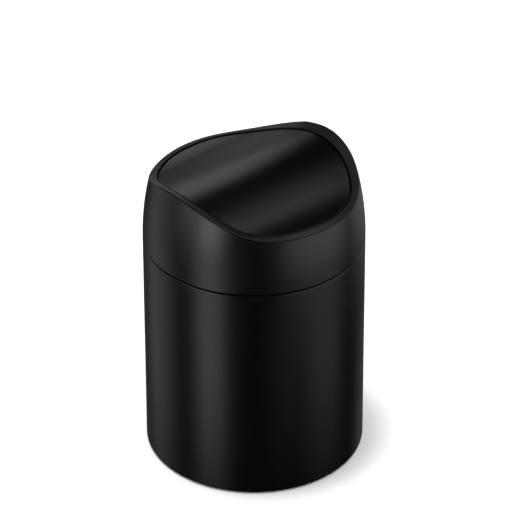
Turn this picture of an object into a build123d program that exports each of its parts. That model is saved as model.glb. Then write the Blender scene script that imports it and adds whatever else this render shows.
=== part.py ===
from build123d import *
import math
import os

# Countertop trash can with a swing lid. Millimetres, +Z up, origin on the table under the middle of the
# base. The hinge axis runs along X, the front faces -Y.

# Overall form
bin_diameter = 128.0
bin_height = 187.1          # table to the crest of the rim, over the hinge ends
seam_height = 138.6         # lower edge of the collar's outer wall
seam_gap = 0.5
foot_height = 0.8           # lower edge of the steel sleeve above the table

# Sleeve and floor
sleeve_sheet = 0.7
curl_radius = 1.2
curl_flange = 4.0
hem_radius = 1.2
hem_depth = 2.6
hem_drop = 3.0
floor_sheet = 0.6
floor_recess = 5.2
floor_dish = 1.4
dish_margin = 20.6          # flat of the floor outside its dish
sheet_clearance = 0.1

# Base ring and its rubber
ring_width = 8.0
ring_web = 1.6
ring_gap = 0.4
rubber_width = 3.0
rubber_height = 2.6
groove_wall = 1.4

# Collar: the outer wall leans in along an arc that starts upright at the seam
rim_lean = 7.17             # how far the wall leans in at the crest
collar_wall = 2.2
rim_drop = 16.2             # crest of the rim down to its low points, front and back
wave_flat = 2.5             # length at both ends where a wave has levelled out
band_width_ends = 5.8       # rim to opening, at the hinge ends
band_width_tips = 4.35      # rim to opening, front and back
opening_power = 2.22        # 2 is an ellipse, more is squarer
band_fall = 2.95            # inner edge of the band below its outer edge, at the hinge ends
band_rise = 1.1             # inner edge above the outer edge, front and back
band_thickness = 2.0
lip_depth = 4.5
lip_thickness = 1.6
rim_round = 0.7
lip_round = 0.4
seam_chamfer = 0.3
ring_sections = 32          # radial sections through the collar
outline_points = 32         # points round the opening's outline, a multiple of four
seam_angle = 22.5           # where the collar's loft closes, clear of the ears and the screw bosses

# Swing panel
panel_gap = 0.75
panel_sink = 0.6
panel_skin = 2.0
panel_side = 1.8
panel_draft = 0.6
panel_edge_round = 0.4
hinge_depth = 7.5           # hinge axis below the panel's crest
underside_depth = 7.65      # flat underside below the hinge axis
cover_thickness = 1.6
cover_gap = 0.15
stiffener = 1.2
stiffener_spread = 20.0

# Counterweight
weight_length = 66.0
weight_width = 18.0
weight_height = 5.0
fence_height = 3.0
fence_wall = 1.2
fit_gap = 0.1               # between pieces of one group that are pushed or dropped together

# Hinge
pin_diameter = 3.0
pin_clearance = 0.05
pin_in_panel = 8.2
pin_in_bearing = 4.0
pin_boss_wall = 2.4
swing_limit = 70.0          # degrees, each way
bearing_half = 5.4
bearing_drop = 8.5          # bearing's flat foot below the hinge axis
bearing_depth = 3.6
bearing_flange = 1.0
bearing_hub = 0.7
stop_inner = 2.4
stop_outer = 4.6
stop_depth = 2.0
stop_clearance = 0.3
tab_half_angle = 14.0
ear_wall = 4.2
ear_rib = 2.0

# Seat ring
seat_clearance = 0.3        # flange above the sleeve's hem, skirt ribs inside it
seat_flange = 2.0
seat_rebate = 0.8
skirt_depth = 12.0
skirt_wall = 1.8
grip_count = 16
grip_rib = 0.8
grip_width = 1.4
post_width = 14.0
post_thickness = 3.0
post_foot = 3.0
gusset_drop = 8.0           # top of a post's gussets below its own top

# Screws
lid_screw_inset = 3.5       # screw axis inside the skirt's inner face
lid_screw_count = 4
lid_screw = 2.9
lid_screw_length = 9.6
lid_screw_head = 5.4
lid_boss_wall = 1.8
lid_boss_height = 12.0
panel_screw = 2.4
panel_screw_length = 5.6
panel_screw_head = 4.8
panel_screw_x = 30.0
panel_screw_y = 22.0
head_height = 1.7
head_recess = 2.0
screw_clearance = 0.2
boss_wall = 2.0

# Derived places
radius = bin_diameter / 2
sleeve_top = seam_height - seam_gap
wall_rise = bin_height - seam_height
lean_radius = (wall_rise**2 + rim_lean**2) / (2 * rim_lean)
hem_inner = radius - hem_depth
floor_under = foot_height + floor_recess
inner_crest = bin_height - band_fall
inner_drop = rim_drop - band_fall - band_rise
panel_crest = inner_crest - panel_sink
hinge_height = panel_crest - hinge_depth
panel_underside = hinge_height - underside_depth
cover_top = panel_underside + cover_thickness
cavity_inset = panel_draft + panel_side
pin_radius = pin_diameter / 2
seat_under = sleeve_top + seat_clearance
seat_top = seat_under + seat_flange
seat_outer = radius - collar_wall + seat_rebate - fit_gap
skirt_outer = hem_inner - seat_clearance - grip_rib
skirt_inner = skirt_outer - skirt_wall
lid_screw_radius = skirt_inner - lid_screw_inset
post_top = hinge_height - bearing_drop


def wall_radius(z, inset=0.0):
    """Radius of the collar's wall at a height, or of its inner face."""
    rise = max(z - seam_height, 0.0)
    return radius - lean_radius + math.sqrt((lean_radius - inset) ** 2 - rise**2)


def wave(y, crest, drop, reach):
    """Height of a crest that falls by drop and levels out at reach."""
    u = min((y / reach) ** 2, 1.0)
    return crest - drop * (2 * u - u**2)


tip_radius = wall_radius(bin_height - rim_drop)
rim_reach = tip_radius - wave_flat
opening_x = wall_radius(bin_height) - band_width_ends
opening_y = tip_radius - band_width_tips
panel_x = opening_x - panel_gap
panel_y = opening_y - panel_gap


def rim_height(y):
    return wave(y, bin_height, rim_drop, rim_reach)


def inner_height(y):
    return wave(y, inner_crest, inner_drop, opening_y - wave_flat)


def panel_height(y):
    return inner_height(y) - panel_sink


def outline_radius(angle, half_x, half_y):
    """Radius of the squared ellipse of the opening, at an angle in radians."""
    across = (abs(math.cos(angle)) / half_x) ** opening_power
    along = (abs(math.sin(angle)) / half_y) ** opening_power
    return (across + along) ** (-1 / opening_power)


def rim_point(angle):
    """Radius and height where the wall meets the wave of the rim."""
    r = radius
    for _ in range(20):
        r = wall_radius(rim_height(r * math.sin(angle)))
    return r, rim_height(r * math.sin(angle))


def radial_plane(angle):
    return Plane((0, 0, 0), x_dir=(math.cos(angle), math.sin(angle), 0),
                 z_dir=(math.sin(angle), -math.cos(angle), 0))


def ring_angles(count):
    """Even angles round the axis, from the seam on."""
    return [math.radians(seam_angle + 360 * i / count) for i in range(count)]


def ring_loft(section):
    """Closed ring through radial sections; section(angle) gives a wire of radius and height."""
    wires = [radial_plane(a).location * section(a) for a in ring_angles(ring_sections)]
    return Solid.make_loft(wires + wires[:1])


def outline_wire(half_x, half_y, z):
    """The opening's outline, or one like it, at a height: four splines that meet smoothly at the diagonals."""
    points = []
    for i in range(outline_points):
        a = math.radians(45 + 360 * i / outline_points)
        r = outline_radius(a, half_x, half_y)
        points.append(Vector(r * math.cos(a), r * math.sin(a), z))
    run = outline_points // 4
    arcs = []
    for first in range(0, outline_points, run):
        ends = [first, (first + run) % outline_points]
        tangents = [(points[(k + 1) % outline_points] - points[k - 1]).normalized() for k in ends]
        chain = [points[(first + i) % outline_points] for i in range(run + 1)]
        arcs += Spline(chain, tangents=tangents).edges()
    return Wire(arcs)


def outline_prism(half_x, half_y, bottom, top):
    """Upright prism of the opening's outline."""
    return extrude(make_face(outline_wire(half_x, half_y, bottom)), top - bottom, dir=(0, 0, 1))


def under_wave(height, bottom, half_x, half_y):
    """Block from a level up to a wave that is ruled along X."""
    steps = 24
    ys = [-half_y + 2 * half_y * i / steps for i in range(steps + 1)]
    crest = Spline([(y, height(y)) for y in ys])
    sides = Polyline((half_y, height(half_y)), (half_y, bottom), (-half_y, bottom), (-half_y, height(half_y)))
    face = Plane.YZ.offset(-half_x) * make_face([crest, sides])
    return extrude(face, 2 * half_x)


def block(x0, x1, y0, y1, z0, z1):
    return Pos((x0 + x1) / 2, (y0 + y1) / 2, (z0 + z1) / 2) * Box(x1 - x0, y1 - y0, z1 - z0)


def x_rod(rod_radius, x0, x1, z):
    """Cylinder along X."""
    return Pos((x0 + x1) / 2, 0, z) * Rot(0, 90, 0) * Cylinder(rod_radius, x1 - x0)


def z_rod(rod_radius, x, y, z0, z1):
    return Pos(x, y, (z0 + z1) / 2) * Cylinder(rod_radius, z1 - z0)


def turned(points, radii):
    """Solid of revolution of a closed outline with rounded corners, given as radius and height."""
    line = FilletPolyline(points, radius=radii, close=True)
    return revolve(Plane.XZ * make_face(line), Axis.Z)


def other_end(solid):
    """The same piece at the hinge's other end."""
    return Rot(0, 0, 180) * solid


# Body

def body_shell():
    inner = radius - sleeve_sheet
    points = [
        (radius - curl_flange, foot_height),
        (radius, foot_height),
        (radius, sleeve_top),
        (hem_inner, sleeve_top),
        (hem_inner, sleeve_top - hem_drop),
        (hem_inner + sleeve_sheet, sleeve_top - hem_drop),
        (hem_inner + sleeve_sheet, sleeve_top - sleeve_sheet),
        (inner, sleeve_top - sleeve_sheet),
        (inner, foot_height + sleeve_sheet),
        (radius - curl_flange, foot_height + sleeve_sheet),
    ]
    curl = curl_radius - sleeve_sheet
    hem = hem_radius - sleeve_sheet
    return turned(points, [0, curl_radius, hem_radius, hem_radius, 0, 0, hem, hem, curl, 0])


def floor_plate():
    outer = radius - sleeve_sheet - sheet_clearance
    inner = outer - floor_sheet
    foot = foot_height + sleeve_sheet
    top = floor_under + floor_sheet
    bend = 2 * floor_sheet
    slope = 3 * floor_dish
    dish_radius = inner - dish_margin
    points = [
        (0, floor_under + floor_dish),
        (dish_radius - slope, floor_under + floor_dish),
        (dish_radius, floor_under),
        (inner, floor_under),
        (inner, foot),
        (outer, foot),
        (outer, top),
        (dish_radius, top),
        (dish_radius - slope, top + floor_dish),
        (0, top + floor_dish),
    ]
    return turned(points, [0, 2, 2, bend - floor_sheet, 0, 0.9 * floor_sheet, bend, 2, 2, 0])


def base_ring():
    outer = radius - curl_flange - ring_gap
    inner = outer - ring_width
    middle = outer - ring_width / 2
    bottom = foot_height + fit_gap
    web = floor_under - ring_web
    wall_out = middle + rubber_width / 2 + groove_wall
    wall_in = middle - rubber_width / 2 - groove_wall
    ring = turned([(inner, web), (wall_in, web), (wall_in, bottom), (wall_out, bottom), (wall_out, web),
                   (outer, web), (outer, floor_under), (inner, floor_under)], [0] * 8)
    groove_top = rubber_height + fit_gap
    half = rubber_width / 2 + fit_gap
    return ring - turned([(middle - half, 0), (middle + half, 0), (middle + half, groove_top),
                          (middle - half, groove_top)], [0] * 4)


def nonslip_ring():
    middle = radius - curl_flange - ring_gap - ring_width / 2
    half = rubber_width / 2
    soft = 0.3 * rubber_width
    return turned([(middle - half, 0), (middle + half, 0), (middle + half, rubber_height),
                   (middle - half, rubber_height)], [soft, soft, 0, 0])


# Lid

def tangent_arc(centre, size, start, end):
    """Arc about a centre, from one tangent point to the other."""
    outward = ((start + end) / 2 - centre).normalized()
    return ThreePointArc(start, centre + outward * size, end)


def rim_arc(rim, along, down):
    """Round between the wall's own arc and the band, as tangent to both."""
    wall_centre = Vector(radius - lean_radius, seam_height)
    start = rim + down * rim_round - wall_centre
    run = start.dot(along)
    step = -run - math.sqrt(run**2 - start.dot(start) + (lean_radius - rim_round) ** 2)
    reach = start + along * step
    centre = wall_centre + reach
    wall_end = wall_centre + reach.normalized() * lean_radius
    return tangent_arc(centre, rim_round, wall_end, centre - down * rim_round)


def lip_arc(rim, along, down, r_in):
    """Round between the band and the upright inner face of the lip."""
    start = rim + down * lip_round
    centre = start + along * ((r_in + lip_round - start.X) / along.X)
    return tangent_arc(centre, lip_round, centre - down * lip_round, Vector(r_in, centre.Y))


def collar_section(angle):
    """Radial section of the collar: wall, rim, sloping band, lip."""
    r_rim, z_rim = rim_point(angle)
    r_in = outline_radius(angle, opening_x, opening_y)
    z_in = inner_height(r_in * math.sin(angle))
    slope = (z_rim - z_in) / (r_rim - r_in)
    drop = band_thickness * math.hypot(1, slope)
    r_lip = r_in + lip_thickness
    z_lip = z_in - lip_depth

    def under_band(r):
        return z_in + slope * (r - r_in) - drop

    r_corner = r_rim - collar_wall
    for _ in range(20):
        r_corner = wall_radius(under_band(r_corner), collar_wall)
    z_corner = under_band(r_corner)
    z_mid = (seam_height + z_rim) / 2
    z_foot = seam_height + seam_chamfer
    rim = Vector(r_rim, z_rim)
    along = Vector(r_in - r_rim, z_in - z_rim).normalized()
    down = Vector(-along.Y, along.X)
    crest = rim_arc(rim, along, down)
    nose = lip_arc(rim, along, down, r_in)
    wall = ThreePointArc((wall_radius(z_foot), z_foot), (wall_radius(z_mid), z_mid), crest @ 0)
    z_half = (seam_height + z_corner) / 2
    inside = ThreePointArc((r_corner, z_corner), (wall_radius(z_half, collar_wall), z_half),
                           (radius - collar_wall, seam_height))
    band = Line(crest @ 1, nose @ 0)
    lip = Polyline(nose @ 1, (r_in, z_lip), (r_lip, z_lip), (r_lip, under_band(r_lip)), (r_corner, z_corner))
    foot = Polyline((radius - collar_wall, seam_height), (radius - seam_chamfer, seam_height),
                    (wall_radius(z_foot), z_foot))
    pieces = [wall, crest, band, nose, lip, inside, foot]
    return Wire([edge for piece in pieces for edge in piece.edges()])


def bearing_outline(half):
    """Outline of the bearing block in the YZ plane: round top, flat foot."""
    top = ThreePointArc((half, hinge_height), (0, hinge_height + half), (-half, hinge_height))
    sides = Polyline((-half, hinge_height), (-half, post_top), (half, post_top), (half, hinge_height))
    return Plane.YZ * make_face([top, sides])


def collar():
    shell = ring_loft(collar_section)
    ear_half = bearing_half + ear_wall
    ear_top = inner_height(ear_half) - band_thickness / 2
    ear_foot = post_top
    ear_back = opening_x + bearing_depth
    rib_back = wall_radius(bin_height) - collar_wall / 2
    ear = block(opening_x, ear_back, -ear_half, ear_half, ear_foot, ear_top)
    for side in (-1, 1):
        middle = side * (ear_half - ear_rib / 2)
        ear += block(ear_back - 1, rib_back, middle - ear_rib / 2, middle + ear_rib / 2, ear_foot, ear_top)
    slot = Pos(opening_x - 1, 0, 0) * extrude(bearing_outline(bearing_half + fit_gap / 2), bearing_depth + 2)
    rebate = z_rod(seat_outer + fit_gap, 0, 0, seam_height - 1, seat_top)
    body = shell + [ear, other_end(ear)] + lid_bosses()
    return body - [slot, other_end(slot), rebate] - lid_screw_shanks(lid_screw / 2)


def lid_screw_places():
    return PolarLocations(lid_screw_radius, lid_screw_count, start_angle=180 / lid_screw_count)


def lid_bosses():
    """Screw bosses under the collar, each on a rib from the wall."""
    reach = wall_radius(seat_top + lid_boss_height) - collar_wall / 2 - lid_screw_radius
    boss = z_rod(lid_screw / 2 + lid_boss_wall, 0, 0, seat_top, seat_top + lid_boss_height)
    rib = block(0, reach, -ear_rib / 2, ear_rib / 2, seat_top, seat_top + lid_boss_height)
    return [place * (boss + rib) for place in lid_screw_places()]


def lid_screw_shanks(shank_radius):
    shank = z_rod(shank_radius, 0, 0, seat_under, seat_under + lid_screw_length)
    return [place * shank for place in lid_screw_places()]


def screw(shank, length, head, seat):
    """Pan-head screw pointing up, its head under the seat level."""
    body = z_rod(shank / 2, 0, 0, seat, seat + length)
    cap = z_rod(head / 2, 0, 0, seat - head_height, seat)
    cap = fillet(cap.edges().group_by(Axis.Z)[0], head_height / 2)
    return body + cap


def lid_screws():
    one = screw(lid_screw, lid_screw_length, lid_screw_head, seat_under)
    return Compound([place * one for place in lid_screw_places()])


def seat_ring():
    flange = turned([(skirt_inner, seat_under - skirt_depth), (skirt_outer, seat_under - skirt_depth),
                     (skirt_outer, seat_under), (seat_outer, seat_under), (seat_outer, seat_top),
                     (skirt_inner, seat_top)], [0.6, 0.6, 0, 0, 0, 0])
    rib_length = skirt_depth - 2
    rib = block(skirt_outer - grip_rib, skirt_outer + grip_rib, -grip_width / 2, grip_width / 2,
                seat_under - rib_length, seat_under)
    rib = chamfer(rib.edges().filter_by(Axis.Y).sort_by(Axis.Z)[:2].sort_by(Axis.X)[-1], 0.7 * grip_rib)
    ring = flange + [Rot(0, 0, 360 * (i + 0.5) / grip_count) * rib for i in range(grip_count)]
    pad = z_rod(lid_screw / 2 + lid_boss_wall + 1, 0, 0, seat_under, seat_top)
    pad += block(0, skirt_inner + 1 - lid_screw_radius, -pad_half(), pad_half(), seat_under, seat_top)
    ring += [place * pad for place in lid_screw_places()]
    ring -= lid_screw_shanks(lid_screw / 2 + screw_clearance)
    post = seat_post()
    return ring + post + other_end(post)


def pad_half():
    return lid_screw / 2 + lid_boss_wall


def seat_post():
    """Post that stands on the ring and holds a bearing up in its ear."""
    face = opening_x + seat_clearance
    back = face + post_thickness
    half = post_width / 2
    post = block(face, back, -half, half, seat_under, post_top)
    post += block(face, skirt_inner + 1, -half - post_foot, half + post_foot, seat_under, seat_top)
    toe = skirt_outer
    peak = post_top - gusset_drop
    gusset = make_face(Polyline((back - 1, seat_under + 1), (toe, seat_under + 1), (toe, seat_top),
                                (back, peak), (back - 1, peak), close=True))
    rib = extrude(Plane.XZ * gusset, ear_rib / 2, both=True)
    return post + Pos(0, half - ear_rib, 0) * rib + Pos(0, ear_rib - half, 0) * rib


def stop_sector(inner, outer, half_angle, x0, x1):
    """Sector round the hinge axis, centred straight below it."""
    low = math.radians(-90 - half_angle)
    high = math.radians(-90 + half_angle)

    def at(r, a):
        return r * math.cos(a), hinge_height + r * math.sin(a)

    down = math.radians(-90)
    outside = ThreePointArc(at(outer, low), at(outer, down), at(outer, high))
    inside = ThreePointArc(at(inner, high), at(inner, down), at(inner, low))
    face = make_face([outside, Line(at(outer, high), at(inner, high)), inside,
                      Line(at(inner, low), at(outer, low))])
    return Pos(x0, 0, 0) * extrude(Plane.YZ * face, x1 - x0)


def bearing():
    """Bearing block of the +X end, with the sector that the panel's stop tab turns in."""
    body = Pos(opening_x, 0, 0) * extrude(bearing_outline(bearing_half), bearing_depth)
    back = opening_x + bearing_depth
    flange = Pos(back, 0, 0) * extrude(bearing_outline(bearing_half + bearing_flange), bearing_flange)
    hub = x_rod(stop_inner - fit_gap, opening_x - bearing_hub, opening_x + 1, hinge_height)
    tab_slack = math.degrees(stop_clearance / stop_outer)
    half_angle = swing_limit + tab_half_angle + tab_slack
    recess = stop_sector(stop_inner, stop_outer, half_angle, opening_x - 1, opening_x + stop_depth)
    bore = x_rod(pin_radius + pin_clearance, opening_x - 2, back + 2 * bearing_flange, hinge_height)
    return body + flange + hub - recess - bore


# Swing panel

def panel_envelope():
    """Drafted block of the panel's outline; at the low front and back edges it has the full length."""
    rise = panel_crest - panel_underside
    tip_rise = panel_crest - inner_drop - panel_underside
    growth = panel_draft * rise / tip_rise
    foot = outline_wire(panel_x - panel_draft, panel_y - panel_draft, panel_underside)
    head = outline_wire(panel_x, panel_y - panel_draft + growth, panel_crest)
    return Solid.make_loft([foot, head], True)


def skin_inside(y):
    return panel_height(y) - panel_skin


def panel_top():
    outer = under_wave(panel_height, panel_underside - 1, panel_x + 3, panel_y + 3) & panel_envelope()
    top_edges = outer.faces().sort_by(Axis.Z)[-1].outer_wire().edges()
    outer = fillet(top_edges, panel_edge_round)
    cavity = outline_prism(panel_x - cavity_inset, panel_y - cavity_inset, panel_underside - 1, bin_height)
    cavity &= under_wave(skin_inside, panel_underside - 2, panel_x + 2, panel_y + 2)
    hollow = cavity - (stiffeners() + panel_bosses() + [pin_boss(), other_end(pin_boss())])
    shell = outer - hollow
    end = panel_x - panel_draft - panel_side / 2
    tab = stop_sector(stop_inner + stop_clearance, stop_outer - stop_clearance, tab_half_angle, end,
                      opening_x + stop_depth - stop_clearance)
    shell += tab + other_end(tab)
    shell -= x_rod(pin_radius, panel_x - cavity_inset - pin_in_panel, opening_x + 5, hinge_height)
    shell -= x_rod(pin_radius, -opening_x - 5, -panel_x + cavity_inset + pin_in_panel, hinge_height)
    return shell - panel_screw_rods(panel_screw / 2)


def pin_boss():
    """Socket for the +X pin, hung from the skin."""
    r = pin_radius + pin_boss_wall
    x0 = panel_x - cavity_inset - pin_in_panel
    boss = x_rod(r, x0, panel_x, hinge_height) + block(x0, panel_x, -r, r, hinge_height, panel_crest)
    return boss - block(x0 - 1, panel_x + 1, -2 * r, 2 * r, panel_underside - 1, cover_top + fit_gap)


def stiffeners():
    """Ribs along Y that also hold the counterweight down."""
    rib = block(-stiffener / 2, stiffener / 2, -panel_y, panel_y, cover_top + fit_gap, panel_crest)
    ribs = [Pos(x, 0, 0) * rib for x in (-stiffener_spread, 0, stiffener_spread)]
    weight = block(-weight_length, weight_length, -fence_half(), fence_half(), panel_underside,
                   cover_top + weight_height + fit_gap)
    return Part() + ribs - weight


def fence_half():
    return weight_width / 2 + fit_gap + fence_wall + fit_gap


def panel_screw_places():
    return GridLocations(2 * panel_screw_x, 2 * panel_screw_y, 2, 2)


def screw_seat():
    return panel_underside + head_recess


def panel_bosses():
    boss = z_rod(panel_screw / 2 + boss_wall, 0, 0, screw_seat() + cover_thickness + fit_gap, panel_crest)
    return [place * boss for place in panel_screw_places()]


def panel_screw_rods(rod_radius):
    rod = z_rod(rod_radius, 0, 0, panel_underside - 1, screw_seat() + panel_screw_length)
    return [place * rod for place in panel_screw_places()]


def panel_underside_cover():
    inset = cavity_inset + cover_gap
    plate = outline_prism(panel_x - inset, panel_y - inset, panel_underside, cover_top)
    plate &= under_wave(lambda y: skin_inside(y) - fit_gap, panel_underside - 2, panel_x, panel_y)
    half_x = weight_length / 2 + fit_gap
    half_y = weight_width / 2 + fit_gap
    fence = block(-half_x - fence_wall, half_x + fence_wall, -half_y - fence_wall, half_y + fence_wall,
                  cover_top - 0.5, cover_top + fence_height)
    fence -= block(-half_x, half_x, -half_y, half_y, cover_top, cover_top + 2 * fence_height)
    boss = z_rod(panel_screw / 2 + boss_wall + 0.8, 0, 0, panel_underside, screw_seat() + cover_thickness)
    cover = plate + fence + [place * boss for place in panel_screw_places()]
    recess = z_rod(panel_screw_head / 2 + screw_clearance, 0, 0, panel_underside - 1, screw_seat())
    cover -= [place * recess for place in panel_screw_places()]
    return cover - panel_screw_rods(panel_screw / 2 + screw_clearance)


def counterweight():
    bar = block(-weight_length / 2, weight_length / 2, -weight_width / 2, weight_width / 2, cover_top,
                cover_top + weight_height)
    return chamfer(bar.edges().filter_by(Axis.Z), 1.0)


def pivot_pin():
    start = panel_x - cavity_inset - pin_in_panel
    pin = x_rod(pin_radius, start, opening_x + pin_in_bearing, hinge_height)
    return chamfer(pin.edges().filter_by(GeomType.CIRCLE), 0.4)


def panel_screws():
    one = screw(panel_screw, panel_screw_length, panel_screw_head, screw_seat())
    return Compound([place * one for place in panel_screw_places()])


def main():
    right_bearing = bearing()
    right_pin = pivot_pin()
    pieces = {
        "body_shell": body_shell(),
        "floor_plate": floor_plate(),
        "base_ring": base_ring(),
        "nonslip_ring": nonslip_ring(),
        "collar": collar(),
        "seat_ring": seat_ring(),
        "bearing_left": other_end(right_bearing),
        "bearing_right": right_bearing,
        "collar_screws": lid_screws(),
        "panel_top": panel_top(),
        "panel_underside": panel_underside_cover(),
        "counterweight": counterweight(),
        "pivot_pin_left": other_end(right_pin),
        "pivot_pin_right": right_pin,
        "panel_screws": panel_screws(),
    }
    os.makedirs("parts", exist_ok=True)
    for name, solid in pieces.items():
        export_step(solid, f"parts/{name}.step")


main()
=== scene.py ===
import bpy
import math
from mathutils import Matrix, Vector


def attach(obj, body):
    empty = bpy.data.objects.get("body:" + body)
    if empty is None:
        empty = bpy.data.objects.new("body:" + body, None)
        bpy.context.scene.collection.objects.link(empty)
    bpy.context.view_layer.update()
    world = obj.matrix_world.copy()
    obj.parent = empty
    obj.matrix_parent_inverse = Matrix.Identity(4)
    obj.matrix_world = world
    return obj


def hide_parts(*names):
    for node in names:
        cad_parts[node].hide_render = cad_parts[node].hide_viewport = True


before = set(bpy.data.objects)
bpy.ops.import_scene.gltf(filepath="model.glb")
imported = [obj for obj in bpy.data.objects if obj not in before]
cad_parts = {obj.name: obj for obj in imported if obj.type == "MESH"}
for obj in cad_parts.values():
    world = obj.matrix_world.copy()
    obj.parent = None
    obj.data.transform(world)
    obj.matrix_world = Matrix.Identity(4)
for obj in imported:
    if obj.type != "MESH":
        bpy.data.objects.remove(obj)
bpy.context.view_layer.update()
print("frame loaded", len(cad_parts), "nodes")
bpy.context.scene.view_settings.view_transform = "Standard"


class Flow:
    # a socket that takes part in plain Python sums
    def __init__(self, graph, socket):
        self.graph = graph
        self.socket = socket

    def sum(self, operation, first, second):
        return self.graph.node("ShaderNodeMath", {"operation": operation}, {0: first, 1: second})

    def __add__(self, other):
        return self.sum("ADD", self, other)

    def __radd__(self, other):
        return self.sum("ADD", other, self)

    def __sub__(self, other):
        return self.sum("SUBTRACT", self, other)

    def __rsub__(self, other):
        return self.sum("SUBTRACT", other, self)

    def __mul__(self, other):
        return self.sum("MULTIPLY", self, other)

    def __rmul__(self, other):
        return self.sum("MULTIPLY", other, self)

    def __truediv__(self, other):
        return self.sum("DIVIDE", self, other)

    def __rtruediv__(self, other):
        return self.sum("DIVIDE", other, self)

    def __abs__(self):
        return self.sum("ABSOLUTE", self, 0.0)


class Graph:
    # a node tree, emptied: a material's, the world's or a growth's
    def __init__(self, tree):
        self.tree = tree
        tree.nodes.clear()

    def node(self, kind, settings=None, inputs=None, out=0):
        made = self.tree.nodes.new(kind)
        for name, value in (settings or {}).items():
            if name == "stops":
                self.setStops(made.color_ramp, value)
            else:
                setattr(made, name, value)
        for name, value in (inputs or {}).items():
            if isinstance(value, Flow):
                self.tree.links.new(value.socket, made.inputs[name])
            else:
                made.inputs[name].default_value = value
        return Flow(self, made.outputs[out]) if len(made.outputs) else made

    def setStops(self, ramp, stops):
        while len(ramp.elements) > 1:
            ramp.elements.remove(ramp.elements[-1])
        for i, (place, grey) in enumerate(stops):
            stop = ramp.elements[0] if i == 0 else ramp.elements.new(place)
            stop.position = place
            stop.color = (grey, grey, grey, 1)

    def place(self):
        return self.node("ShaderNodeTexCoord", out="Object")

    def noise(self, where, scale, detail=2.0):
        return self.node("ShaderNodeTexNoise", None, {"Vector": where, "Scale": scale, "Detail": detail})

    def cells(self, where, scale):
        return self.node("ShaderNodeTexVoronoi", {"feature": "SMOOTH_F1"},
                         {"Vector": where, "Scale": scale})

    def ramp(self, value, stops):
        return self.node("ShaderNodeValToRGB", {"stops": stops}, {"Fac": value})

    def blend(self, amount, first, second):
        # the mix node has its colours at 6 and 7, and its mixed colour at 2
        return self.node("ShaderNodeMix", {"data_type": "RGBA"}, {0: amount, 6: first, 7: second}, out=2)

    def bump(self, height, distance, under=None):
        inputs = {"Strength": 1.0, "Distance": distance, "Height": height}
        if under:
            inputs["Normal"] = under
        return self.node("ShaderNodeBump", None, inputs)


def newMaterial(name):
    material = bpy.data.materials.new(name)
    material.use_nodes = True
    return material, Graph(material.node_tree)


def finish(graph, inputs):
    shader = graph.node("ShaderNodeBsdfPrincipled", None, inputs)
    graph.node("ShaderNodeOutputMaterial", None, {"Surface": shader})


powderCoat = {"dark": 0.0022, "light": 0.0032, "rough": 0.31, "spread": 0.05, "peelScale": 420,
              "peel": 0.000006, "specks": 2600, "speck": 0.0000025}
sparkGrain = {"dark": 0.0026, "light": 0.0038, "rough": 0.33, "spread": 0.05, "grainScale": 1500,
              "grain": 0.000006, "fineScale": 4200, "fine": 0.000003}
panelGrain = {"dark": 0.0024, "light": 0.0034, "rough": 0.24, "spread": 0.04, "grainScale": 1800,
              "grain": 0.000004, "fineScale": 4200, "fine": 0.000002}
innerMoulding = {"dark": 0.009, "light": 0.013, "rough": 0.46, "spread": 0.10, "grainScale": 1100,
                 "grain": 0.000010, "fineScale": 3600, "fine": 0.000004}
# what these four share: noise scales are per metre, levels are of the reflection
shadeDrift = {"scale": 22, "detail": 4.0, "from": 0.3, "to": 0.7, "blueInDark": 1.04, "blueInLight": 1.03}
gloss = {"steelLevel": 0.46, "plasticLevel": 0.5, "smudgeOnSteel": 35, "smudgeOnPlastic": 40, "detail": 4.0,
         "fineDetail": 3.0}


def shadeBetween(graph, sizes, where):
    # the colour drifts a little over a few centimetres
    spread = graph.noise(where, shadeDrift["scale"], shadeDrift["detail"])
    drift = graph.ramp(spread, [(shadeDrift["from"], 0.0), (shadeDrift["to"], 1.0)])
    dark = sizes["dark"]
    light = sizes["light"]
    return graph.blend(drift, (dark, dark, dark * shadeDrift["blueInDark"], 1),
                       (light, light, light * shadeDrift["blueInLight"], 1))


def roughFrom(graph, sizes, where, scale):
    # roughness with smudges a few centimetres wide
    smudge = graph.noise(where, scale, gloss["detail"])
    return sizes["rough"] + (smudge - 0.5) * sizes["spread"]


def coatedSteel(name, sizes):
    # powder coat: long soft orange peel with fine specks on top
    material, graph = newMaterial(name)
    where = graph.place()
    peel = graph.bump(graph.noise(where, sizes["peelScale"]), sizes["peel"])
    specks = graph.bump(graph.cells(where, sizes["specks"]), sizes["speck"], peel)
    rough = roughFrom(graph, sizes, where, gloss["smudgeOnSteel"])
    finish(graph, {"Base Color": shadeBetween(graph, sizes, where), "Roughness": rough, "Normal": specks,
                   "Specular IOR Level": gloss["steelLevel"]})
    return material


def grainedPlastic(name, sizes):
    # spark-eroded mould grain: soft cells with a finer noise on top
    material, graph = newMaterial(name)
    where = graph.place()
    coarse = graph.bump(graph.cells(where, sizes["grainScale"]), sizes["grain"])
    fine = graph.bump(graph.noise(where, sizes["fineScale"], gloss["fineDetail"]), sizes["fine"], coarse)
    rough = roughFrom(graph, sizes, where, gloss["smudgeOnPlastic"])
    finish(graph, {"Base Color": shadeBetween(graph, sizes, where), "Roughness": rough, "Normal": fine,
                   "Specular IOR Level": gloss["plasticLevel"]})
    return material


acetalLook = {"dark": (0.040, 0.041, 0.043, 1), "light": (0.056, 0.057, 0.060, 1), "flowScale": 260,
              "detail": 3.0, "rough": 0.27, "spread": 0.12, "skin": 0.000004}


def acetal(name, sizes):
    # flow marks of the moulding
    material, graph = newMaterial(name)
    flow = graph.noise(graph.place(), sizes["flowScale"], sizes["detail"])
    finish(graph, {"Base Color": graph.blend(flow, sizes["dark"], sizes["light"]),
                   "Roughness": sizes["rough"] + flow * sizes["spread"],
                   "Normal": graph.bump(flow, sizes["skin"])})
    return material


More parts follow.
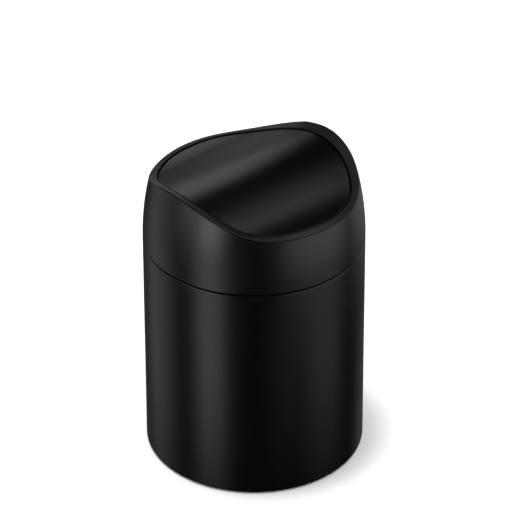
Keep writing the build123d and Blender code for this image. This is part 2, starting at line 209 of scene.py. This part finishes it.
rubberLook = {"dark": (0.010, 0.010, 0.010, 1), "bloomed": (0.022, 0.022, 0.021, 1), "bloomScale": 90,
              "bloomDetail": 5.0, "from": 0.42, "to": 0.72, "rough": 0.68, "spread": 0.14,
              "skinScale": 1900, "skinDetail": 3.0, "skin": 0.000012}


def matRubber(name, sizes):
    # bloom makes the rubber paler in patches
    material, graph = newMaterial(name)
    where = graph.place()
    patches = graph.noise(where, sizes["bloomScale"], sizes["bloomDetail"])
    bloom = graph.ramp(patches, [(sizes["from"], 0.0), (sizes["to"], 1.0)])
    skin = graph.bump(graph.noise(where, sizes["skinScale"], sizes["skinDetail"]), sizes["skin"])
    finish(graph, {"Base Color": graph.blend(bloom, sizes["dark"], sizes["bloomed"]),
                   "Roughness": sizes["rough"] + bloom * sizes["spread"], "Normal": skin})
    return material


zincLook = {"blue": (0.50, 0.51, 0.52, 1), "yellow": (0.58, 0.57, 0.54, 1), "cloudScale": 130,
            "spangleScale": 700, "detail": 3.0, "from": 0.35, "to": 0.65, "rough": 0.24, "spread": 0.16,
            "skin": 0.000005}


def zincPlate(name, sizes):
    # bright zinc, bluish and yellowish in clouds
    material, graph = newMaterial(name)
    where = graph.place()
    spangle = graph.noise(where, sizes["spangleScale"], sizes["detail"])
    clouds = graph.noise(where, sizes["cloudScale"], sizes["detail"])
    tint = graph.ramp(clouds, [(sizes["from"], 0.0), (sizes["to"], 1.0)])
    finish(graph, {"Base Color": graph.blend(tint, sizes["blue"], sizes["yellow"]), "Metallic": 1.0,
                   "Roughness": sizes["rough"] + spangle * sizes["spread"],
                   "Normal": graph.bump(spangle, sizes["skin"])})
    return material


sleeveBlack = coatedSteel("sleeveBlack", powderCoat)
collarBlack = grainedPlastic("collarBlack", sparkGrain)
panelBlack = grainedPlastic("panelBlack", panelGrain)
mouldingBlack = grainedPlastic("mouldingBlack", innerMoulding)
bearingAcetal = acetal("bearingAcetal", acetalLook)
rubberBlack = matRubber("rubberBlack", rubberLook)
zincSteel = zincPlate("zincSteel", zincLook)

wear = {
    "body_shell": sleeveBlack, "floor_plate": sleeveBlack, "base_ring": mouldingBlack,
    "nonslip_ring": rubberBlack, "collar": collarBlack, "seat_ring": mouldingBlack,
    "bearing_left": bearingAcetal, "bearing_right": bearingAcetal, "collar_screws": zincSteel,
    "panel_top": panelBlack, "panel_underside": mouldingBlack, "counterweight": zincSteel,
    "pivot_pin_left": zincSteel, "pivot_pin_right": zincSteel, "panel_screws": zincSteel,
}
for name, material in wear.items():
    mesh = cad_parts[name].data
    mesh.materials.clear()
    mesh.materials.append(material)
print("materials on")


def newGrowth(name, sizes):
    # an empty tree with a geometry input, one number input for each size, and their sockets by name
    tree = bpy.data.node_groups.new(name, "GeometryNodeTree")
    graph = Graph(tree)
    tree.interface.new_socket(name="Places", in_out="INPUT", socket_type="NodeSocketGeometry")
    for key, value in sizes.items():
        kind = "NodeSocketInt" if isinstance(value, int) else "NodeSocketFloat"
        tree.interface.new_socket(name=key, in_out="INPUT", socket_type=kind)
    tree.interface.new_socket(name="Grown", in_out="OUTPUT", socket_type="NodeSocketGeometry")
    entry = tree.nodes.new("NodeGroupInput")
    given = {socket.name: Flow(graph, socket) for socket in entry.outputs if socket.name}
    return graph, given


def closeGrowth(graph, geometry, material):
    real = graph.node("GeometryNodeRealizeInstances", None, {"Geometry": geometry})
    worn = graph.node("GeometryNodeSetMaterial", None, {"Geometry": real, "Material": material})
    ending = graph.tree.nodes.new("NodeGroupOutput")
    graph.tree.links.new(worn.socket, ending.inputs["Grown"])


def grow(name, graph, sizes, places=()):
    # runs the tree once and keeps its result as a plain mesh
    seedMesh = bpy.data.meshes.new(name + "Places")
    seedMesh.from_pydata([tuple(p) for p in places], [], [])
    piece = bpy.data.objects.new(name, seedMesh)
    bpy.context.scene.collection.objects.link(piece)
    growth = piece.modifiers.new("growth", "NODES")
    growth.node_group = graph.tree
    for item in graph.tree.interface.items_tree:
        if item.in_out == "INPUT" and item.name in sizes:
            growth[item.identifier] = sizes[item.name]
    settled = piece.evaluated_get(bpy.context.evaluated_depsgraph_get())
    plain = bpy.data.meshes.new_from_object(settled)
    worn = [material for material in plain.materials if material]
    plain.materials.clear()
    plain.materials.append(worn[0])
    plain.polygons.foreach_set("material_index", [0] * len(plain.polygons))
    piece.modifiers.clear()
    piece.data = plain
    print("grown", name, len(plain.polygons), "faces")
    return piece


def softShade(graph, mesh, degrees=35):
    # smooth, with the folds sharper than the angle kept
    fold = graph.node("GeometryNodeInputMeshEdgeAngle")
    sharp = graph.node("FunctionNodeCompare", {"operation": "GREATER_THAN"},
                       {0: fold, 1: math.radians(degrees)})
    faces = graph.node("GeometryNodeSetShadeSmooth", {"domain": "FACE"},
                       {"Geometry": mesh, "Shade Smooth": True})
    return graph.node("GeometryNodeSetShadeSmooth", {"domain": "EDGE"},
                      {"Geometry": faces, "Selection": sharp, "Shade Smooth": False})


def outlineFrom(graph, corners, roundings, steps):
    # closed outline through corners given as (distance from the hub, height), each with its own rounding;
    # the sweep turns the outline's y downwards, so heights go in negative
    spots = graph.node("GeometryNodeMeshLine", None, {"Count": len(corners)})
    index = graph.node("GeometryNodeInputIndex")
    pick = graph.tree.nodes.new("GeometryNodeIndexSwitch")
    pick.data_type = "VECTOR"
    sizer = graph.tree.nodes.new("GeometryNodeIndexSwitch")
    sizer.data_type = "FLOAT"
    for switch in (pick, sizer):
        while len(switch.index_switch_items) < len(corners):
            switch.index_switch_items.new()
        graph.tree.links.new(index.socket, switch.inputs["Index"])
    for i, (across, height) in enumerate(corners):
        at = graph.node("ShaderNodeCombineXYZ", None, {"X": across, "Y": 0 - height})
        graph.tree.links.new(at.socket, pick.inputs[i + 1])
        if isinstance(roundings[i], Flow):
            graph.tree.links.new(roundings[i].socket, sizer.inputs[i + 1])
        else:
            sizer.inputs[i + 1].default_value = roundings[i]
    line = graph.node("GeometryNodeMeshToCurve", None, {"Mesh": spots})
    placed = graph.node("GeometryNodeSetPosition", None,
                        {"Geometry": line, "Position": Flow(graph, pick.outputs[0])})
    closed = graph.node("GeometryNodeSetSplineCyclic", None, {"Geometry": placed, "Cyclic": True})
    return graph.node("GeometryNodeFilletCurve", {"mode": "POLY"},
                      {"Curve": closed, "Count": steps, "Radius": Flow(graph, sizer.outputs[0])})


seamGap = 0.000002  # points closer than this are one


def turnOutline(graph, outline, hub, segments):
    # sweeps an outline, whose x counts from the hub circle, once round the axis
    path = graph.node("GeometryNodeCurvePrimitiveCircle", None, {"Resolution": segments, "Radius": hub})
    swept = graph.node("GeometryNodeCurveToMesh", None, {"Curve": path, "Profile Curve": outline})
    turned = graph.node("GeometryNodeFlipFaces", None, {"Mesh": swept})
    return graph.node("GeometryNodeMergeByDistance", None, {"Geometry": turned, "Distance": seamGap})


def bar(graph, long, wide, thick):
    # a small block with its middle at the origin
    size = graph.node("ShaderNodeCombineXYZ", None, {"X": long, "Y": wide, "Z": thick})
    return graph.node("GeometryNodeMeshCube", None,
                      {"Size": size, "Vertices X": 2, "Vertices Y": 2, "Vertices Z": 2})


# the sleeve: one strip of sheet with a rolled foot and a folded hem, turned about the axis

sleeveSizes = {"radius": 0.064, "sheet": 0.0007, "foot": 0.0008, "top": 0.1381, "curl": 0.0012,
               "flange": 0.004, "hemDepth": 0.0026, "hemDrop": 0.003, "hub": 0.03, "segments": 288,
               "roundSteps": 8}


def growSleeve(sizes):
    graph, given = newGrowth("sleeveGrowth", sizes)
    rim = given["radius"] - given["hub"]
    inner = rim - given["sheet"]
    hem = rim - given["hemDepth"]
    flangeEnd = rim - given["flange"]
    foot = given["foot"]
    top = given["top"]
    drop = top - given["hemDrop"]
    under = top - given["sheet"]
    small = given["curl"] - given["sheet"]
    corners = [(flangeEnd, foot), (rim, foot), (rim, top), (hem, top), (hem, drop),
               (hem + given["sheet"], drop), (hem + given["sheet"], under), (inner, under),
               (inner, foot + given["sheet"]), (flangeEnd, foot + given["sheet"])]
    roundings = [0.0, given["curl"], given["curl"], given["curl"], 0.0, 0.0, small, small, small, 0.0]
    outline = outlineFrom(graph, corners, roundings, given["roundSteps"])
    skin = turnOutline(graph, outline, given["hub"], given["segments"])
    closeGrowth(graph, softShade(graph, skin), sleeveBlack)
    return grow("sleeve", graph, sizes)


sleeve = growSleeve(sleeveSizes)
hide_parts("body_shell")
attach(sleeve, "bin")


# the rubber ring: a soft-cornered strip with a tread of cross ribs underneath

rubberSizes = {"middle": 0.0556, "width": 0.003, "height": 0.0026, "tread": 0.0005, "corner": 0.0007,
               "ribs": 120, "ribWidth": 0.0011, "ribShare": 0.8, "segments": 240, "cornerSteps": 4}


def growRubber(sizes):
    graph, given = newGrowth("rubberGrowth", sizes)
    half = given["width"] * 0.5
    base = given["tread"]
    corners = [(0 - half, base), (half, base), (half, given["height"]), (0 - half, given["height"])]
    soft = given["corner"]
    outline = outlineFrom(graph, corners, [soft, soft, 0.0, 0.0], given["cornerSteps"])
    strip = softShade(graph, turnOutline(graph, outline, given["middle"], given["segments"]))
    rib = bar(graph, given["width"] * given["ribShare"], given["ribWidth"], given["tread"] * 2)
    lifted = graph.node("ShaderNodeCombineXYZ", None, {"Z": given["tread"]})
    ring = graph.node("GeometryNodeMeshCircle", None,
                      {"Vertices": given["ribs"], "Radius": given["middle"]})
    raised = graph.node("GeometryNodeTransform", None, {"Geometry": ring, "Translation": lifted})
    turn = graph.node("GeometryNodeInputIndex") * (2 * math.pi) / given["ribs"]
    about = graph.node("ShaderNodeCombineXYZ", None, {"Z": turn})
    ribs = graph.node("GeometryNodeInstanceOnPoints", None,
                      {"Points": raised, "Instance": rib, "Rotation": about})
    both = graph.node("GeometryNodeJoinGeometry", None, {"Geometry": strip})
    graph.tree.links.new(ribs.socket, both.socket.node.inputs["Geometry"])
    closeGrowth(graph, both, rubberBlack)
    return grow("rubberRing", graph, sizes)


rubberRing = growRubber(rubberSizes)
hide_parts("nonslip_ring")
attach(rubberRing, "bin")


# pan-head screws with a cross recess, one at each place

lidScrewSizes = {"shank": 0.0029, "length": 0.0096, "head": 0.0054, "headHeight": 0.0017, "seat": 0.1384,
                 "slotWidth": 0.00075, "slotLength": 0.0029, "slotDepth": 0.0011, "threadDepth": 0.0003,
                 "turns": 7.0}
lidScrewSpread = 0.055 * math.sqrt(0.5)  # on the diagonals of a circle of that radius
panelScrewSizes = {"shank": 0.0024, "length": 0.0056, "head": 0.0048, "headHeight": 0.0017, "seat": 0.1704,
                   "slotWidth": 0.0007, "slotLength": 0.0026, "slotDepth": 0.0010, "threadDepth": 0.00025,
                   "turns": 4.5}
panelScrewSpread = (0.030, 0.022)
# what both kinds share; crown is a share of the head's height
screwForm = {"hub": 0.0006, "axisGap": 0.0000005, "point": 0.0015, "crown": 0.55, "underEdge": 0.00012,
             "roundSteps": 6, "segments": 40, "threadFrom": 0.0004, "threadShort": 0.0022, "coilSteps": 20}


def growScrews(name, sizes, places):
    graph, given = newGrowth(name + "Growth", sizes)
    form = screwForm
    hub = form["hub"]
    axis = form["axisGap"] - hub
    seat = given["seat"]
    under = seat - given["headHeight"]
    root = given["shank"] * 0.5 - given["threadDepth"]
    core = root - hub
    wide = given["head"] * 0.5 - hub
    tip = seat + given["length"]
    corners = [(axis, under), (wide, under), (wide, seat), (core, seat), (core, tip - form["point"]),
               (axis, tip)]
    roundings = [0.0, given["headHeight"] * form["crown"], form["underEdge"], 0.0, 0.0, 0.0]
    outline = outlineFrom(graph, corners, roundings, form["roundSteps"])
    solid = turnOutline(graph, outline, hub, form["segments"])
    blade = bar(graph, given["slotLength"], given["slotWidth"], given["slotDepth"] * 2)
    down = graph.node("ShaderNodeCombineXYZ", None, {"Z": under})
    along = graph.node("GeometryNodeTransform", None, {"Geometry": blade, "Translation": down})
    crossed = graph.node("GeometryNodeTransform", None,
                         {"Geometry": blade, "Translation": down, "Rotation": (0, 0, math.pi / 2)})
    cut = graph.node("GeometryNodeMeshBoolean", {"operation": "DIFFERENCE", "solver": "EXACT"},
                     {"Mesh 1": solid, "Mesh 2": along})
    graph.tree.links.new(crossed.socket, cut.socket.node.inputs["Mesh 2"])
    helix = graph.node("GeometryNodeCurveSpiral", None,
                       {"Resolution": form["coilSteps"], "Rotations": given["turns"], "Start Radius": root,
                        "End Radius": root, "Height": given["length"] - form["threadShort"]})
    ridge = graph.node("GeometryNodeCurvePrimitiveCircle", None,
                       {"Resolution": 4, "Radius": given["threadDepth"]})  # four sides give a sharp thread
    thread = graph.node("GeometryNodeCurveToMesh", None,
                        {"Curve": helix, "Profile Curve": ridge, "Fill Caps": True})
    lift = graph.node("ShaderNodeCombineXYZ", None, {"Z": seat + form["threadFrom"]})
    threaded = graph.node("GeometryNodeTransform", None, {"Geometry": thread, "Translation": lift})
    whole = graph.node("GeometryNodeJoinGeometry", None, {"Geometry": softShade(graph, cut)})
    graph.tree.links.new(threaded.socket, whole.socket.node.inputs["Geometry"])
    row = graph.node("GeometryNodeInstanceOnPoints", None, {"Points": given["Places"], "Instance": whole})
    closeGrowth(graph, row, zincSteel)
    return grow(name, graph, sizes, places)


def fourCorners(x, y):
    return [(x, y, 0), (-x, y, 0), (-x, -y, 0), (x, -y, 0)]


lidScrews = growScrews("lidScrews", lidScrewSizes, fourCorners(lidScrewSpread, lidScrewSpread))
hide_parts("collar_screws")
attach(lidScrews, "lid")
panelScrews = growScrews("panelScrews", panelScrewSizes, fourCorners(*panelScrewSpread))
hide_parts("panel_screws")
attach(panelScrews, "swing_panel")


# faint rings that the ejector pins leave on the cover under the panel

ejectorSizes = {"ringRadius": 0.0022, "ridge": 0.00009, "level": 0.1684, "ringSteps": 32, "beadSteps": 8}
ejectorPlaces = [(x, y, 0) for x in (-0.016, 0.016) for y in (-0.040, 0.040)]
ejectorPlaces += [(x, 0, 0) for x in (-0.039, -0.013, 0.013, 0.039)]


def growEjectorMarks(sizes, places):
    graph, given = newGrowth("ejectorGrowth", sizes)
    circle = graph.node("GeometryNodeCurvePrimitiveCircle", None,
                        {"Resolution": given["ringSteps"], "Radius": given["ringRadius"]})
    bead = graph.node("GeometryNodeCurvePrimitiveCircle", None,
                      {"Resolution": given["beadSteps"], "Radius": given["ridge"]})
    ring = graph.node("GeometryNodeCurveToMesh", None, {"Curve": circle, "Profile Curve": bead})
    level = graph.node("ShaderNodeCombineXYZ", None, {"Z": given["level"]})
    seated = graph.node("GeometryNodeTransform", None, {"Geometry": ring, "Translation": level})
    marks = graph.node("GeometryNodeInstanceOnPoints", None,
                       {"Points": given["Places"], "Instance": seated})
    closeGrowth(graph, marks, mouldingBlack)
    return grow("ejectorMarks", graph, sizes, places)


ejectorMarks = growEjectorMarks(ejectorSizes, ejectorPlaces)
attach(ejectorMarks, "swing_panel")
print("small pieces on")


cameraSizes = {"azimuth": -40.0135, "elevation": 33.2252, "distance": 2.15108, "aimHeight": 0.12385,
               "aimSide": 0.0005, "roll": -0.17, "lens": 263.63, "sensor": 36, "clipNear": 0.1,
               "clipFar": 50}


def direction(azimuth, elevation):
    # outwards from the axis, in degrees from the front and from the level
    a = math.radians(azimuth)
    e = math.radians(elevation)
    return Vector((math.sin(a) * math.cos(e), -math.cos(a) * math.cos(e), math.sin(e)))


def cameraFrame(sizes):
    a = math.radians(sizes["azimuth"])
    back = direction(sizes["azimuth"], sizes["elevation"])
    right = Vector((math.cos(a), math.sin(a), 0))
    return right, back.cross(right), back


def makeCamera(sizes):
    right, up, back = cameraFrame(sizes)
    roll = math.radians(sizes["roll"])
    across = right * math.cos(roll) + up * math.sin(roll)
    upward = up * math.cos(roll) - right * math.sin(roll)
    aim = right * sizes["aimSide"] + Vector((0, 0, sizes["aimHeight"]))
    camera = bpy.data.objects.new("camera", bpy.data.cameras.new("camera"))
    bpy.context.scene.collection.objects.link(camera)
    camera.data.lens = sizes["lens"]
    camera.data.sensor_width = sizes["sensor"]
    camera.data.clip_start = sizes["clipNear"]
    camera.data.clip_end = sizes["clipFar"]
    turned = Matrix((across, upward, back)).transposed().to_4x4()
    camera.matrix_world = Matrix.Translation(aim + back * sizes["distance"]) @ turned
    bpy.context.scene.camera = camera


makeCamera(cameraSizes)
print("camera set")


def fromCamera(azimuth, elevation, reach):
    # a place whose azimuth is counted from the camera's own
    return direction(azimuth + cameraSizes["azimuth"], elevation) * reach


floorSizes = {"side": 8.0, "grey": 0.8, "gain": 2.55}


def makeFloor(sizes):
    # the camera sees the floor whiter than the other rays do; no reflection sees it
    bpy.ops.mesh.primitive_plane_add(size=sizes["side"])
    floor = bpy.context.object
    floor.name = "floor"
    floor.visible_glossy = False
    floor.visible_shadow = False
    grey = sizes["grey"]
    pale = grey * sizes["gain"]
    material, graph = newMaterial("paleFloor")
    shade = graph.node("ShaderNodeBsdfDiffuse", None, {"Color": (grey, grey, grey, 1)})
    paper = graph.node("ShaderNodeBsdfDiffuse", None, {"Color": (pale, pale, pale, 1)})
    seen = graph.node("ShaderNodeLightPath", out="Is Camera Ray")
    mixed = graph.node("ShaderNodeMixShader", None, {0: seen, 1: shade, 2: paper})
    graph.node("ShaderNodeOutputMaterial", None, {"Surface": mixed})
    floor.data.materials.append(material)


# tall papers standing round the bin and reaching below the floor's level, seen only by reflections:
# azimuth from the camera and width in degrees, low end, high end, brightness
standingPapers = {
    "leftPaper": (-110.1, 65, -0.65, 0.51, 0.43),
    "keyPaperLow": (-43.8, 42.2, -0.5, 0.04, 1.42),
    "keyPaperHigh": (-45.8, 42.5, -0.1, 0.28, 3.8),
    "keySidePaper": (-75, 46, -0.04, 0.38, 1.25),
    "frontRightPaper": (30.3, 45.6, -0.48, 0.26, 0.18),
    "rightPaper": (63.8, 101, -0.22, 0.42, 1.3),
    "rightPaperLow": (71.3, 61.4, -0.46, 0.15, 0.52),
    "backRightPaper": (136, 76, -0.29, 0.48, 0.76),
    "rightEdgePaper": (152, 65, -0.7, 0.03, 0.13),
    "backLeftPaper": (211, 36, 0.02, 0.34, 0.9),
    "leftEdgePaper": (-155, 50, -0.65, 0.05, 0.06),
    "backPaper": (166.2, 73.8, -0.13, 0.29, 0.37),
}
# papers hung over the lid: azimuth from the camera, width, low and high elevation in degrees, brightness
hangingPapers = {
    "ridgePaper": (191, 41, 9.8, 47, 0.9),
    "crestPaper": (192.5, 41, 3.6, 29, 0.7),
    "backTopPaper": (208.4, 47.8, 66, 90, 2.1),
    "slopePaper": (116, 44, 43.9, 87.5, 4),
    "leftTopPaper": (233.3, 43.1, 43.7, 72.9, 0.87),
    "rightTopPaper": (124, 46, 13, 44, 0.55),
}
paperSizes = {"standingReach": 0.6, "hangingReach": 0.3, "lidHeight": 0.18, "steps": 12, "softEdge": 0.35}


def standingSpot(azimuth, height):
    foot = fromCamera(azimuth, 0, paperSizes["standingReach"])
    return Vector((foot.x, foot.y, height))


def hangingSpot(azimuth, elevation):
    lid = Vector((0, 0, paperSizes["lidHeight"]))
    return fromCamera(azimuth, elevation, paperSizes["hangingReach"]) + lid


def softEdge(graph, spread, way):
    # 1 in the middle of the paper, easing to 0 at both ends
    along = graph.node("ShaderNodeSeparateXYZ", None, {"Vector": spread}, out=way)
    return graph.node("ShaderNodeMapRange", {"interpolation_type": "SMOOTHSTEP"},
                      {"Value": 0.5 - abs(along - 0.5), "From Max": paperSizes["softEdge"]})


def makePaper(name, spotAt, azimuth, wide, low, high, glow):
    steps = paperSizes["steps"]
    spread = [(i / steps, j / steps) for j in range(steps + 1) for i in range(steps + 1)]
    places = [spotAt(azimuth + wide * (u - 0.5), low + (high - low) * v) for u, v in spread]
    starts = [j * (steps + 1) + i for j in range(steps) for i in range(steps)]
    mesh = bpy.data.meshes.new(name)
    mesh.from_pydata(places, [], [(k, k + 1, k + steps + 2, k + steps + 1) for k in starts])
    sheet = mesh.uv_layers.new(name="sheet")
    for corner in mesh.loops:
        sheet.data[corner.index].uv = spread[corner.vertex_index]
    paper = bpy.data.objects.new(name, mesh)
    bpy.context.scene.collection.objects.link(paper)
    paper.visible_camera = False
    paper.visible_diffuse = False
    paper.visible_shadow = False
    material, graph = newMaterial(name)
    spots = graph.node("ShaderNodeUVMap", {"uv_map": "sheet"})
    strength = glow * softEdge(graph, spots, "X") * softEdge(graph, spots, "Y")
    shine = graph.node("ShaderNodeEmission", None, {"Color": (1, 1, 1, 1), "Strength": strength})
    graph.node("ShaderNodeOutputMaterial", None, {"Surface": shine})
    mesh.materials.append(material)


skySizes = {"light": 0.5, "seen": 1.0}


def makeWorld(sizes):
    # an even sky that lights the floor and the bin, white to the camera and left out of reflections
    world = bpy.data.worlds.new("studio")
    bpy.context.scene.world = world
    world.use_nodes = True
    world.cycles_visibility.glossy = False
    graph = Graph(world.node_tree)
    seen = graph.node("ShaderNodeLightPath", out="Is Camera Ray")
    sky = graph.node("ShaderNodeBackground", None, {"Color": (1, 1, 1, 1), "Strength": sizes["light"]})
    white = graph.node("ShaderNodeBackground", None, {"Color": (1, 1, 1, 1), "Strength": sizes["seen"]})
    mixed = graph.node("ShaderNodeMixShader", None, {0: seen, 1: sky, 2: white})
    graph.node("ShaderNodeOutputWorld", None, {"Surface": mixed})


# softboxes that light and are never mirrored: azimuth from the camera, elevation, side, brightness
boxReach = 3.0
softboxes = {
    "keyBox": (-86, 85.4, 0.38, 38),
}


def softbox(name, azimuth, elevation, side, glow):
    lamp = bpy.data.lights.new(name, "AREA")
    lamp.shape = "SQUARE"
    lamp.size = side
    lamp.energy = glow * math.pi * side * side
    holder = bpy.data.objects.new(name, lamp)
    bpy.context.scene.collection.objects.link(holder)
    spot = fromCamera(azimuth, elevation, boxReach)
    holder.location = spot
    holder.rotation_euler = spot.to_track_quat("Z", "Y").to_euler()
    holder.visible_camera = False
    holder.visible_glossy = False


makeFloor(floorSizes)
for name, paper in standingPapers.items():
    makePaper(name, standingSpot, *paper)
for name, paper in hangingPapers.items():
    makePaper(name, hangingSpot, *paper)
makeWorld(skySizes)
for name, box in softboxes.items():
    softbox(name, *box)
print("stage set")
